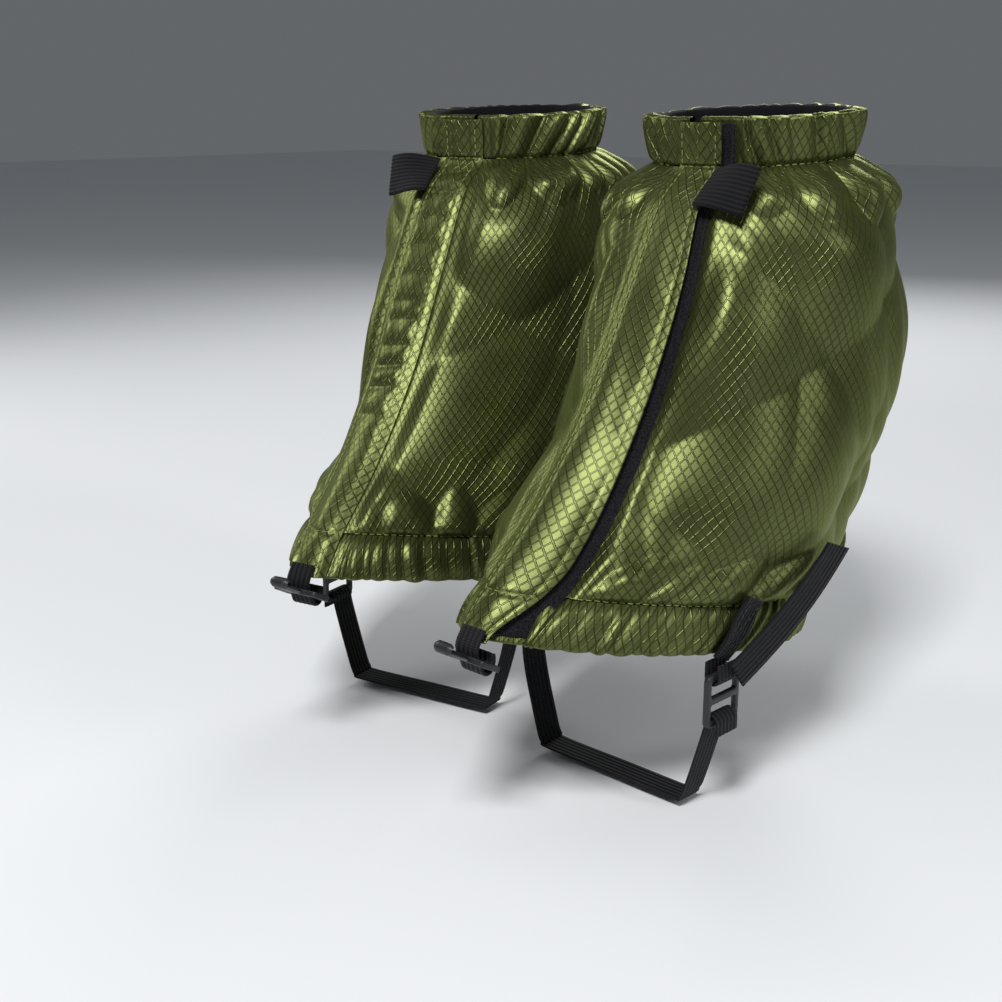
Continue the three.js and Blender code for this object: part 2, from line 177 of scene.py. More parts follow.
def add_studio():
    middle = (0, 0, 0.15)
    area_light("key", (0.42, -0.92, 1.25), middle, (0.35, 0.35), 20)
    area_light("side", (1.25, 0.15, 0.75), middle, (0.25, 0.6), 3.0)
    area_light("left", (-1.2, -0.1, 0.7), middle, (0.2, 0.6), 4.0)
    area_light("back", (-0.5, 1.3, 0.9), middle, (0.6, 0.6), 7.0)
    world = bpy.data.worlds.new("studio")
    world.use_nodes = True
    world.node_tree.nodes["Background"].inputs["Color"].default_value = (0.9, 0.95, 1, 1)
    world.node_tree.nodes["Background"].inputs["Strength"].default_value = 0.14
    bpy.context.scene.world = world
    bpy.context.scene.view_settings.view_transform = "Standard"
    mesh = bpy.data.meshes.new("floor")
    h = 6.0
    mesh.from_pydata([(-h, -h, 0), (h, -h, 0), (h, h, 0), (-h, h, 0)], [], [(0, 1, 2, 3)])
    floor = bpy.data.objects.new("floor", mesh)
    bpy.context.scene.collection.objects.link(floor)
    mesh.materials.append(floor_material())
    floor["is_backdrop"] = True


# ---- materials ----------------------------------------------------------------------------------
class Nodes:
    """A short way to write a node material."""

    def __init__(self, name):
        self.material = bpy.data.materials.new(name)
        self.material.use_nodes = True
        self.tree = self.material.node_tree
        self.shader = self.tree.nodes["Principled BSDF"]

    def put(self, node, socket, value):
        target = node.inputs[socket]
        if isinstance(value, bpy.types.NodeSocket):
            self.tree.links.new(value, target)
        else:
            target.default_value = value

    def set(self, **values):
        for key, value in values.items():
            self.put(self.shader, key.replace("_", " "), value)

    def math(self, operation, a, b=0.0, c=0.0):
        node = self.tree.nodes.new("ShaderNodeMath")
        node.operation = operation
        for i, value in enumerate((a, b, c)):
            self.put(node, i, value)
        return node.outputs[0]

    def ramp(self, value, low, high, to_low=0.0, to_high=1.0):
        node = self.tree.nodes.new("ShaderNodeMapRange")
        node.interpolation_type = "SMOOTHSTEP"
        for i, item in enumerate((value, low, high, to_low, to_high)):
            self.put(node, i, item)
        return node.outputs[0]

    def noise(self, scale, detail=3.0, vector=None):
        node = self.tree.nodes.new("ShaderNodeTexNoise")
        self.put(node, "Scale", scale)
        self.put(node, "Detail", detail)
        self.put(node, "Vector", vector or self.object())
        return node.outputs["Fac"]

    def object(self):
        return self.tree.nodes.new("ShaderNodeTexCoord").outputs["Object"]

    def uv(self):
        """The two fabric coordinates, in mm."""
        node = self.tree.nodes.new("ShaderNodeUVMap")
        node.uv_map = "fabric"
        split = self.tree.nodes.new("ShaderNodeSeparateXYZ")
        self.put(split, 0, node.outputs[0])
        return (self.math("MULTIPLY", split.outputs[0], 1000.0),
                self.math("MULTIPLY", split.outputs[1], 1000.0))

    def mix(self, factor, a, b):
        node = self.tree.nodes.new("ShaderNodeMix")
        node.data_type = "RGBA"
        self.put(node, 0, factor)
        self.put(node, 6, a if isinstance(a, bpy.types.NodeSocket) else (*a, 1))
        self.put(node, 7, b if isinstance(b, bpy.types.NodeSocket) else (*b, 1))
        return node.outputs[2]

    def bump(self, height, strength, distance, under=None):
        node = self.tree.nodes.new("ShaderNodeBump")
        self.put(node, "Strength", strength)
        self.put(node, "Distance", distance)
        self.put(node, "Height", height)
        if under is not None:
            self.put(node, "Normal", under)
        return node.outputs[0]


def lattice_line(n, value, width):
    """1 on the lines where value is a whole number, 0 between them."""
    off = n.math("PINGPONG", value, 0.5)
    return n.ramp(off, width, width * 0.35)


RIPSTOP_ACROSS, RIPSTOP_UP = 3.9, 6.0


def ripstop_material():
    """Olive satin cloth with raised threads that cross in narrow diamonds."""
    n = Nodes("ripstop_cloth")
    u, v = n.uv()
    rise, run = n.math("DIVIDE", v, RIPSTOP_UP), n.math("DIVIDE", u, RIPSTOP_ACROSS)
    lines = n.math("MAXIMUM", lattice_line(n, n.math("ADD", rise, run), 0.12),
                   lattice_line(n, n.math("SUBTRACT", rise, run), 0.12))
    broad = n.noise(28.0, 4.0)
    fine = n.noise(900.0, 2.0)
    cloth = n.mix(n.ramp(broad, 0.3, 0.7), (0.072, 0.083, 0.027), (0.110, 0.125, 0.043))
    cloth = n.mix(n.math("MULTIPLY", lines, 0.72), cloth, (0.018, 0.023, 0.005))
    weave = n.math("MULTIPLY", n.math("SINE", n.math("MULTIPLY", u, 14.0)),
                   n.math("SINE", n.math("MULTIPLY", v, 14.0)))
    under = n.bump(n.math("ADD", n.math("MULTIPLY", weave, 0.3), fine), 0.10, 0.0002)
    rough = n.ramp(n.math("SUBTRACT", broad, n.math("MULTIPLY", lines, 0.4)), 0.0, 1.0, 0.31, 0.45)
    n.set(Base_Color=cloth, Metallic=0.72, Roughness=rough,
          Specular_IOR_Level=n.math("ADD", 0.55, n.math("MULTIPLY", lines, 0.45)),
          Specular_Tint=(0.8, 0.88, 0.45, 1), Sheen_Weight=0.06, Sheen_Roughness=0.4,
          Sheen_Tint=(0.6, 0.7, 0.3, 1), Normal=n.bump(lines, 0.5, 0.0004, under))
    return n.material


def black_cloth_material():
    n = Nodes("black_lining_cloth")
    u, v = n.uv()
    weave = n.math("MULTIPLY", n.math("SINE", n.math("MULTIPLY", u, 7.0)),
                   n.math("SINE", n.math("MULTIPLY", v, 7.0)))
    n.set(Base_Color=n.mix(n.noise(120.0), (0.002, 0.002, 0.003), (0.007, 0.007, 0.009)), Roughness=0.8,
          Specular_IOR_Level=0.1, Sheen_Weight=0.02, Normal=n.bump(weave, 0.3, 0.0003))
    return n.material


def webbing_material(name="black_webbing", ribs=6.0, width=14.0, rough=0.62):
    """Black webbing: lengthwise ribs crossed by a fine weft. u runs across the band."""
    n = Nodes(name)
    u, v = n.uv()
    rib = n.math("SINE", n.math("MULTIPLY", u, 2 * math.pi * ribs / width))
    weft = n.math("SINE", n.math("ADD", n.math("MULTIPLY", v, 2 * math.pi / 0.9),
                                 n.math("MULTIPLY", rib, 1.2)))
    height = n.math("ADD", rib, n.math("MULTIPLY", weft, 0.35))
    # Painted shade and highlight: the colour follows the rib height, darker in the grooves between the
    # ribs and lighter on their crests.
    colour = n.mix(n.ramp(height, -1.0, 1.2), (0.002, 0.002, 0.003), (0.010, 0.010, 0.012))
    n.set(Base_Color=colour, Roughness=rough, Specular_IOR_Level=0.15, Sheen_Weight=0.05,
          Sheen_Roughness=0.5, Normal=n.bump(height, 0.7, 0.0003))
    return n.material


def hook_loop_material():
    n = Nodes("black_hook_and_loop")
    fuzz = n.noise(1600.0, 4.0)
    n.set(Base_Color=n.mix(n.ramp(fuzz, 0.35, 0.7), (0.002, 0.002, 0.003), (0.016, 0.016, 0.02)),
          Roughness=0.9, Specular_IOR_Level=0.1, Sheen_Weight=0.12, Normal=n.bump(fuzz, 0.9, 0.0008))
    return n.material


def plastic_material(name, colour, rough):
    n = Nodes(name)
    grain = n.noise(2200.0, 2.0)
    scuff = n.noise(90.0, 5.0)
    light = tuple(c * 1.8 for c in colour)
    n.set(Base_Color=n.mix(n.ramp(scuff, 0.5, 0.8), colour, light),
          Roughness=n.ramp(scuff, 0.2, 0.8, rough - 0.06, rough + 0.12), Specular_IOR_Level=0.4,
          Normal=n.bump(grain, 0.12, 0.0002))
    return n.material


def thread_material(name, dark, light):
    n = Nodes(name)
    n.set(Base_Color=n.mix(n.noise(700.0), dark, light), Roughness=0.55)
    return n.material


def floor_material():
    n = Nodes("pale_floor")
    n.set(Base_Color=n.mix(n.noise(3.0), (0.80, 0.82, 0.84), (0.84, 0.85, 0.87)), Roughness=0.9)
    return n.material


# ---- meshes -------------------------------------------------------------------------------------
def add_mesh(side, name, points, faces, fabric, materials, slots=None):
    """A piece from points in the gaiter's own frame, in mm; fabric holds the two fabric coordinates."""
    if STANCE[side][3] < 0:
        faces = [tuple(face)[::-1] for face in faces]
    mesh = bpy.data.meshes.new(f"{side}_{name}")
    mesh.from_pydata(to_row(side, points).tolist(), [], faces)
    for material in materials:
        mesh.materials.append(material)
    layer = mesh.uv_layers.new(name="fabric")
    corners = np.empty(len(mesh.loops), int)
    mesh.loops.foreach_get("vertex_index", corners)
    layer.data.foreach_set("uv", (np.asarray(fabric, float)[corners] * MM).ravel())
    mesh.polygons.foreach_set("use_smooth", [True] * len(faces))
    if slots is not None:
        mesh.polygons.foreach_set("material_index", slots)
    piece = bpy.data.objects.new(f"{side}_{name}", mesh)
    bpy.context.scene.collection.objects.link(piece)
    return piece


def grid_faces(rows, columns):
    """Quads of a grid of points, row after row."""
    corners = [j * columns + i for j in range(rows - 1) for i in range(columns - 1)]
    return [(a, a + 1, a + columns + 1, a + columns) for a in corners]


def settle(piece, levels=1, thickness=0.0):
    """Smooths a piece and gives it its thickness, and leaves a plain mesh."""
    if levels:
        smoother = piece.modifiers.new("smooth", "SUBSURF")
        smoother.levels = smoother.render_levels = levels
    if thickness:
        solid = piece.modifiers.new("thickness", "SOLIDIFY")
        solid.thickness = thickness * MM
        solid.offset = -1
    graph = bpy.context.evaluated_depsgraph_get()
    mesh = bpy.data.meshes.new_from_object(piece.evaluated_get(graph), depsgraph=graph)
    piece.modifiers.clear()
    piece.data = mesh
    return piece


def sheet_piece(side, name, points, fabric, materials, levels=1, thickness=0.0, row_slots=None):
    """A cloth piece from a grid of points: rows run up the gaiter, columns round it."""
    rows, columns = points.shape[:2]
    slots = None if row_slots is None else np.repeat(row_slots[:rows - 1], columns - 1)
    piece = add_mesh(side, name, points.reshape(-1, 3), grid_faces(rows, columns),
                     fabric.reshape(-1, 2), materials, slots)
    return settle(piece, levels, thickness)


def place_piece(piece, body, slot, *nodes):
    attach(piece, body)
    if nodes:
        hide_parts(*nodes)
    return piece


def along(points):
    """Distance run along each line of points, from 0."""
    steps = np.linalg.norm(np.diff(points, axis=0), axis=-1)
    return np.concatenate([np.zeros_like(steps[:1]), np.cumsum(steps, 0)])


def spline(points, step):
    """Points at an even step along a smooth curve through the given ones."""
    p = np.asarray(points, float)
    padded = np.vstack([2 * p[0] - p[1], p, 2 * p[-1] - p[-2]])
    fine = []
    for k in range(len(p) - 1):
        p0, p1, p2, p3 = padded[k:k + 4]
        t = np.linspace(0, 1, 24, endpoint=False)[:, None]
        v0, v1 = (p2 - p0) / 2, (p3 - p1) / 2
        cubic = 2 * p1 - 2 * p2 + v0 + v1
        square = 3 * (p2 - p1) - 2 * v0 - v1
        fine.append((cubic * t + square) * t * t + v0 * t + p1)
    fine = np.vstack([*fine, p[-1:]])
    run = along(fine)
    even = np.linspace(0, run[-1], max(3, int(run[-1] / step) + 1))
    return np.stack([np.interp(even, run, fine[:, i]) for i in range(3)], -1)


def unit(vectors):
    return vectors / np.maximum(np.linalg.norm(vectors, axis=-1, keepdims=True), 1e-9)


def strap_points(path, across, width, thickness, ribs):
    """Cross sections of a ribbed webbing band along a path, and its fabric coordinates."""
    forward = unit(np.gradient(path, axis=0))
    across = unit(np.broadcast_to(np.asarray(across, float), path.shape))
    across = unit(across - forward * np.sum(across * forward, -1, keepdims=True))
    out = np.cross(forward, across)
    count = ribs * 6 + 1
    u = np.linspace(-0.5, 0.5, count)
    rib = 0.16 * np.abs(np.cos(np.pi * ribs * u)) ** 0.5 - 0.16
    edge = np.sqrt(np.clip(1 - (np.abs(u) * 2) ** 14, 0.02, 1))
    half = (thickness / 2 + rib) * edge
    u = np.concatenate([u, u[::-1]])
    half = np.concatenate([half, -half[::-1]])
    points = (path[:, None] + across[:, None] * (u * width)[None, :, None]
              + out[:, None] * half[None, :, None])
    run = along(path)
    fabric = np.stack(np.broadcast_arrays((u * width)[None, :], run[:, None]), -1)
    return points, fabric


def webbing(side, name, path, across, width, thickness, ribs=6, look=None, slant=0.0):
    """A band of webbing along a path, closed at both ends; slant draws one corner of its end back."""
    points, fabric = strap_points(path, across, width, thickness, ribs)
    run = along(path)
    if slant:
        near_end = smooth(run, run[-1] - 2.2 * slant, run[-1])[:, None]
        back = slant * near_end * (0.5 - fabric[..., 0] / width)
        points = points - unit(path[-1] - path[-2]) * back[..., None]
    rows, columns = points.shape[:2]
    faces = []
    for j in range(rows - 1):
        for i in range(columns):
            k, a, b = (i + 1) % columns, j * columns, (j + 1) * columns
            faces.append((a + i, b + i, b + k, a + k))
    faces += [tuple(range(columns)), tuple((rows - 1) * columns + i for i in reversed(range(columns)))]
    looks = [look or LOOKS["webbing"]]
    return add_mesh(side, name, points.reshape(-1, 3), faces, fabric.reshape(-1, 2), looks)


def beads(side, name, lines, length=2.3, gap=1.0, radius=0.24, slot="thread"):
    """Rows of stitches: short rounded threads laid along lines of points."""
    points, faces = [], []
    for line in lines:
        run = along(line)
        for start in np.arange(gap, run[-1] - length, length + gap):
            marks = start + length * np.array([0, 0.12, 0.5, 0.88, 1.0])
            centre = np.stack([np.interp(marks, run, line[:, i]) for i in range(3)], -1)
            forward = unit(centre[-1:] - centre[:1])[0]
            side_way = unit(np.cross(forward, (0.3, 0.5, 0.81)))
            third = np.cross(forward, side_way)
            first = len(points) * 6
            for c, share in zip(centre, (0.35, 0.85, 1.0, 0.85, 0.35)):
                turn = np.arange(6) * np.pi / 3
                points.append(c + radius * share * (np.cos(turn)[:, None] * side_way
                                                    + np.sin(turn)[:, None] * third))
            for j in range(4):
                for i in range(6):
                    k = (i + 1) % 6
                    a, b = first + j * 6, first + (j + 1) * 6
                    faces.append((a + i, a + k, b + k, b + i))
            faces += [tuple(first + i for i in range(6))[::-1], tuple(first + 24 + i for i in range(6))]
    points = np.concatenate(points)
    return add_mesh(side, name, points, faces, np.zeros((len(points), 2)), [LOOKS[slot]])


# ---- gathers and cloth --------------------------------------------------------------------------
class Gathers:
    """Uneven gathers round a ring: rounded crests between sharp valleys, by share of the way round."""

    def __init__(self, seed, count, spread=0.45):
        rng = np.random.default_rng(seed)
        widths = rng.uniform(1 - spread, 1 + spread, count + 2)
        self.valleys = np.cumsum(widths) / widths[:-1].sum() - 0.5 / count
        self.crest = rng.uniform(0.45, 1.0, count + 2)

    def cell(self, share):
        """The crest's height and how far across it each share lies, from 0 to 1."""
        k = np.clip(np.searchsorted(self.valleys, share, side="right") - 1, 0, len(self.valleys) - 2)
        low, high = self.valleys[k], self.valleys[k + 1]
        return self.crest[k], np.clip((share - low) / (high - low), 0, 1)

    def __call__(self, share):
        crest, t = self.cell(share)
        return crest * np.sin(np.pi * t) ** 0.75


def soft_noise(seed, u, v, waves=9):
    """Smooth uneven hills, about -1 to 1, from a few seeded waves over the two shares."""
    rng = np.random.default_rng(seed)
    total = 0
    for _ in range(waves):
        ku, kv = rng.uniform(2, 7), rng.uniform(-2.5, 2.5)
        total = total + np.sin(2 * np.pi * (np.round(ku) * u + kv * v) + rng.uniform(0, 6.28))
    return total / math.sqrt(waves) / 1.4


def crease(phase, sharp=1.0):
    """Rounded bulges, 0 to 1, with a crease wherever the phase passes a whole number."""
    return np.abs(np.sin(np.pi * phase)) ** sharp


def body_folds(seed, u, v):
    """Soft slanting folds over the body cloth, 0 to 1; u and v are fabric mm round and up."""
    a, b, c, d = np.random.default_rng(seed).uniform(0, 2 * math.pi, 4)
    wu = u + 11 * np.sin(v / 33 + a) + 7 * np.sin(u / 41 + b)
    wv = v + 9 * np.sin(u / 36 + c) + 5 * np.sin(v / 27 + d)
    first = crease((0.55 * wu + 0.84 * wv) / 84 + a)
    second = crease((0.58 * wu - 0.81 * wv) / 76 + b)
    third = crease((0.95 * wu + 0.30 * wv) / 62 + c, 0.9)
    return 0.40 * first + 0.36 * second + 0.24 * third


def small_wrinkles(seed, u, v):
    """Short fine wrinkles, 0 to 1, that come and go over the cloth."""
    a, b, c, d = np.random.default_rng(seed + 100).uniform(0, 2 * math.pi, 4)
    wave = crease((0.9 * u + 0.5 * v + 5 * np.sin(v / 14 + a)) / 17 + b)
    patch = 0.5 + 0.5 * np.sin(u / 29 + c + 1.4 * np.sin(v / 23 + d))
    return wave * patch ** 2


def flap_edge(place):
    """Where the flap's free edge lies: it draws in to the middle of the front at the hem."""
    return FLAP_FREE - 6.5 * smooth(place, 3.6, 5.6) - 11.0 * (1 - smooth(place, 0.0, 1.5))


def gap_edge(place):
    """Where the body cloth begins to rise beside the flap."""
    return flap_edge(place) + 2.0 + 5.0 * (1 - smooth(place, 0.0, 1.5))


def sunk(x, place):
    """How far the body cloth is sunk where the flap lies over it."""
    return 3 * LAYER * (1 - smooth(x, gap_edge(place), gap_edge(place) + 5))


def wrap(places, columns):
    """Angles round the body from the underlap to the flap's root, the shares and the sinking."""
    places = np.asarray(places, float)
    share = np.linspace(0, 1, columns)
    first = angle_at(UNDERLAP_END, places)
    last = 2 * math.pi + angle_at(FLAP_ROOT + 2.0, places)
    angle = first[:, None] + (last - first)[:, None] * share
    x = across(angle, places[:, None])
    sink = np.where(angle < math.pi / 2, sunk(x, places[:, None]), 0)
    sink = sink + 1.4 * np.where(angle > 1.5 * math.pi, smooth(x, FLAP_ROOT - 1.5, FLAP_ROOT + 0.5), 0)
    return angle, np.broadcast_to(share, angle.shape), sink


FOLD_DEPTH = 13.0
BODY_SWELL = 1.0
DRAWN_IN = {"left": 0.0, "right": 5.0}
FULLNESS_AT = [0, 1, 2, 3, 4, 5, 6, 7]
FULLNESS = [1.2, 1.16, 1.06, 1.05, 1.07, 1.17, 1.42, 1.42]
SHELL_ROWS, SHELL_COLUMNS = 112, 340


def girth_at(places):
    """The way round the body at each place, in mm."""
    keys = section(places)
    reach = np.hypot(keys[:, 0] - keys[:, 2], keys[:, 1] - keys[:, 3]) / 2
    return 2 * math.pi * np.sqrt((keys[:, 4] ** 2 + reach ** 2) / 2)


def shell_points(side):
    """The body cloth, gathered at both seams with soft folds between, and its fabric coordinates."""
    seed = SEEDS[side]
    places = np.linspace(HEM_SEAM + 0.02, COLLAR_SEAM - 0.02, SHELL_ROWS)
    angle, share, sink = wrap(places, SHELL_COLUMNS)
    run = along(skin(np.full_like(places, math.pi / 2), places))[:, None]
    width = (girth_at(places) * np.interp(places, FULLNESS_AT, FULLNESS))[:, None]
    u, down, up = (share - 0.5) * width, run[-1] - run, run
    start = 0.075 + 0.03 * (1 - smooth(places, 1.5, 3.5))[:, None]
    free = smooth(share, start, start + 0.04) * smooth(1 - share, 0.02, 0.05)
    crest, across = Gathers(seed + 3, 16, 0.4).cell(share)
    reach = 15 + 17 * crest * np.sin(np.pi * across)
    lobes = crest * np.sin(np.pi * across) ** 0.7
    lobes = lobes * np.sin(np.pi * np.clip(down / reach, 0, 1) ** 0.8) ** 0.8
    low_crest, low_across = Gathers(seed + 5, 24, 0.5).cell(share - 0.0008 * up)
    low_reach = 12 + 16 * low_crest * np.sin(np.pi * low_across)
    low_lobes = low_crest * np.sin(np.pi * low_across) ** 0.8
    low_lobes = low_lobes * np.sin(np.pi * np.clip(up / low_reach, 0, 1) ** 0.7) ** 0.8
    puff = 2.4 * COLLAR_GATHERS[side](share) * np.exp(-down / 7.0) + 7.5 * lobes
    puff = puff + 1.6 * HEM_GATHERS[side](share) * np.exp(-up / 6.0) + 5.0 * low_lobes
    middle = smooth(down, 4, 40) * smooth(up, 2, 26)
    puff = puff + FOLD_DEPTH * middle * (body_folds(seed, u, run) - 0.52)
    puff = puff + 1.3 * smooth(down, 3, 15) * smooth(up, 3, 12) * small_wrinkles(seed, u, run)
    puff = puff + BODY_SWELL * middle
    beside = np.exp(-((angle - math.radians(58)) / 0.42) ** 2)
    puff = puff - DRAWN_IN[side] * beside * smooth(down, 25, 75) * smooth(up, 5, 50)
    groove = 1.9 * np.exp(-down / 2.5) + 1.5 * np.exp(-up / 2.5)
    points = skin(angle, places[:, None], sink + (groove - puff) * free)
    return points, np.stack(np.broadcast_arrays(u, run), -1), width[:, 0], run[:, 0]


def normals_of(points):
    """Outward normals of a grid whose rows run up and columns run round."""
    across = np.gradient(points, axis=1)
    up = np.gradient(points, axis=0)
    return unit(np.cross(across, up))


def make_shell(side):
    points, fabric, width, run = shell_points(side)
    shell = sheet_piece(side, "shell_cloth", points, fabric, [LOOKS["ripstop"]], 1)
    parts = ("outer_front", "outer_back", "inner_back", "inner_front")
    panels = [f"{side}_shell_{part}" for part in parts]
    place_piece(shell, f"{side}_gaiter", "ripstop", *panels)
    inner = points - normals_of(points) * 1.6
    lining = sheet_piece(side, "lining_cloth", inner, fabric, [LOOKS["lining"]], 1)
    place_piece(lining, f"{side}_gaiter", "lining", f"{side}_lining")
    return points


# ---- casings, flap and tapes --------------------------------------------------------------------
CASING_FULLNESS = 1.28


def make_casing(side, name, edge, seam, gathers, crest, slant, columns):
    """A folded tunnel of gathered cloth round an elastic band, from its seam over its edge."""
    toward = 1 if edge > seam else -1
    length = abs(section(edge)[1] - section(seam)[1])
    heights = np.concatenate([np.linspace(0, 0.94, 13), np.linspace(0.95, 1, 5)])
    rows, fabrics = [], []
    round_share = np.linspace(0, 1, columns)
    wander = 0.5 + 0.5 * np.sin(2 * math.pi * (3 * round_share + 0.21 * STANCE[side][3]))
    free = smooth(round_share, 0.07, 0.10) * smooth(1 - round_share, 0.02, 0.05)
    girth = along(skin(np.linspace(0, 2 * math.pi, 200), float(edge)))[-1]
    cloth_across = (round_share - 0.5) * girth * CASING_FULLNESS
    for h in heights:
        place = seam + toward * h * abs(edge - seam)
        angle, share, sink = wrap([place], columns)
        shift = slant * (0.35 + wander) * h * length / girth
        fold = gathers(share[0] + shift * free) ** 1.5
        if toward < 0:
            from_strap = (np.cos(angle[0]) - math.cos(STRAP_ANGLE)) / 0.15
            fold = fold * (1 - 0.8 * np.exp(-from_strap ** 2))
        swell = 1.5 * math.sin(math.pi * min(1, h * 1.02)) ** 0.6 + crest * fold * (0.55 + 0.6 * h)
        groove = 1.5 * math.exp(-h * length / 1.6)
        turn = max(0.0, (h - 0.94) / 0.06)
        inset = sink[0] + groove - swell * free * (1 - 0.35 * turn)
        inset = inset + 2.1 * (1 - math.cos(turn * math.pi / 2))
        row = skin(angle[0], place, inset)
        row[:, 2] += toward * h ** 2 * free * (0.9 * fold - 0.3)
        rows.append(row)
        fabrics.append(np.stack([cloth_across, np.full(columns, h * length)], -1))
    outer_rows = len(rows)
    for h in (0.97, 0.9, 0.6, 0.3, 0.0):
        place = seam + toward * h * abs(edge - seam)
        angle, share, sink = wrap([place], columns)
        ripple = 0.5 * gathers(share[0])
        rows.append(skin(angle[0], place, sink[0] + 4.0 - ripple * 0.6))
        fabrics.append(np.stack([cloth_across, np.full(columns, (2 - h) * length)], -1))
    points, fabric = np.stack(rows), np.stack(fabrics)
    if toward < 0:
        points, fabric = points[::-1], fabric[::-1]
    inside = np.arange(len(rows) - 1) >= outer_rows - 1
    if toward < 0:
        inside = inside[::-1]
    casing = sheet_piece(side, f"{name}_cloth", points, fabric, [LOOKS["ripstop"], LOOKS["lining"]], 1,
                         row_slots=inside.astype(int))
    place_piece(casing, f"{side}_gaiter", "ripstop", f"{side}_{name}")
    return points if toward > 0 else points[::-1]


def make_elastic(side, name, casing_edge, casing_seam):
    """The ribbed elastic band that lies inside a casing."""
    low, high = sorted((casing_seam + (casing_edge - casing_seam) * 0.12,
                        casing_seam + (casing_edge - casing_seam) * 0.85))
    places = np.linspace(low, high, 15)
    angle, share, sink = wrap(places, 320)
    rib = 0.12 * np.cos(np.arange(15) * math.pi)[:, None]
    points = skin(angle, places[:, None], sink + 2.1 + rib)
    girth = along(points[7])[-1]
    fabric = np.stack([share * girth, np.broadcast_to(along(points[:, 0])[:, None], share.shape)], -1)
    band = sheet_piece(side, f"{name}_band", points, fabric, [LOOKS["elastic"]], 0, 0.8)
    place_piece(band, f"{side}_gaiter", "elastic", f"{side}_{name}")


FLAP_ROWS, FLAP_COLUMNS = 230, 34


def flap_grid(side):
    places = np.linspace(0.02, COLLAR_TOP - 0.09, FLAP_ROWS)
    t = np.linspace(0, 1, FLAP_COLUMNS)
    x = FLAP_ROOT - 1.0 + t * (flap_edge(places)[:, None] - FLAP_ROOT + 1.0)
    run = along(skin(np.zeros_like(places), places))[:, None]
    puckers = smooth(t, 0.16, 0.3) * smooth(1 - t, 0.14, 0.28)
    high = smooth(places, 2.0, 2.8)[:, None] * (1 - smooth(places, 5.75, 5.95))[:, None]
    deep, pitch = PUCKERS[side]
    bars = Gathers(SEEDS[side] + 13, int(run[-1, 0] / pitch), 0.3)
    wave = bars((run + 3.0 * (t - 0.5) + 1.5 * np.sin(run / 19.0 + 2 * t)) / run[-1])
    lift = 0.25 + 1.15 * smooth(t, 0.02, 0.2)
    lift = lift + deep * puckers * high * (wave - 0.4)
    soft = soft_noise(SEEDS[side] + 9, t * 0.35, run / 120.0, 7)
    lift = lift + (0.55 if side == "left" else 0.3) * soft * smooth(t, 0.1, 0.3)
    in_collar = smooth(places, 6.02, 6.1)[:, None]
    lift = lift + in_collar * (1.3 * np.sin(math.pi * np.clip((places - 6) / 0.95, 0, 1))[:, None] ** 0.6
                               + 0.8 * np.abs(np.sin(2.3 * math.pi * t + 0.9)) * smooth(t, 0.05, 0.2))
    seams = np.exp(-((places - 6.0) / 0.035) ** 2) + np.exp(-((places - 1.0) / 0.05) ** 2)
    lift = lift - 0.7 * seams[:, None] * smooth(t, 0.05, 0.15)
    hem = np.exp(-((t - 0.87) / 0.02) ** 2) + np.exp(-((t - 0.17) / 0.02) ** 2)
    lift = lift - 0.35 * hem
    points = skin(angle_at(x, places[:, None]), places[:, None], -lift)
    fabric = np.stack([x, np.broadcast_to(run, x.shape)], -1)
    return points, fabric, places


def flap_blend(piece):
    """Bakes the piece's placement into its mesh."""
    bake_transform(piece)


def make_flap(side):
    points, fabric, places = flap_grid(side)
    flap = sheet_piece(side, "flap_cloth", points, fabric, [LOOKS["ripstop"]], 1, 0.6)
    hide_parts(f"{side}_flap")
    flap_blend(flap)
    out = normals_of(points) * 0.15
    lines = [(points + out)[4:-4, 5], (points + out)[4:-4, 29]]
    rows = [int(np.argmin(abs(places - p))) for p in (1.0, 6.0)]
    lines += [(points + out)[j, 3:-1] for j in rows]
    seams = beads(side, "flap_stitching", lines)
    flap_blend(seams)


def make_tape(side, name, body, left, right, depth, below):
    """A hook-and-loop tape down the front between two edges that may change with height."""
    places = np.linspace(0.2, COLLAR_TOP - 0.14, 120)
    t = np.linspace(0, 1, 18)
    x = left + t * (right(places)[:, None] - left)
    cover = sunk(x, places[:, None]) - TAPE_THICK - 0.25
    inset = np.minimum(depth, cover) if below else np.full_like(x, depth)
    points = skin(angle_at(x, places[:, None]), places[:, None], inset)
    run = along(points[:, 9])
    fabric = np.stack([x, np.broadcast_to(run[:, None], x.shape)], -1)
    tape = sheet_piece(side, f"{name}_strip", points, fabric, [LOOKS["hook_and_loop"]], 1, TAPE_THICK)
    place_piece(tape, body, "hook_and_loop", f"{side}_{name}")
    width = float(np.mean(right(places)) - left)


TAPE_THICK = 0.9


def loop_edge(place):
    return gap_edge(place) + 1.5


def hook_edge(place):
    return flap_edge(place) - 1.2


# ---- webbing and hardware -----------------------------------------------------------------------
STRAP_ANGLE = math.acos(8.0 / 96.0)
HEM_LOW = skin(STRAP_ANGLE, 0)
HEM_HIGH = skin(STRAP_ANGLE, HEM_SEAM)
LOOP_TOP = HEM_LOW[2] - 4.4
BUCKLE_TOP = LOOP_TOP - 1.1
BUCKLE_X = HEM_LOW[0] + 2.4
BUCKLE_SIZE = (21.0, 22.0, 3.2)
BAR = 3.0


def lerp(a, b, share):
    return a + (b - a) * share


def half_turn(x, z, reach, sign):
    turn = np.linspace(0, math.pi, 9)
    return [np.array([x - reach * math.cos(a), STRAP_Y, z + sign * reach * math.sin(a)]) for a in turn]


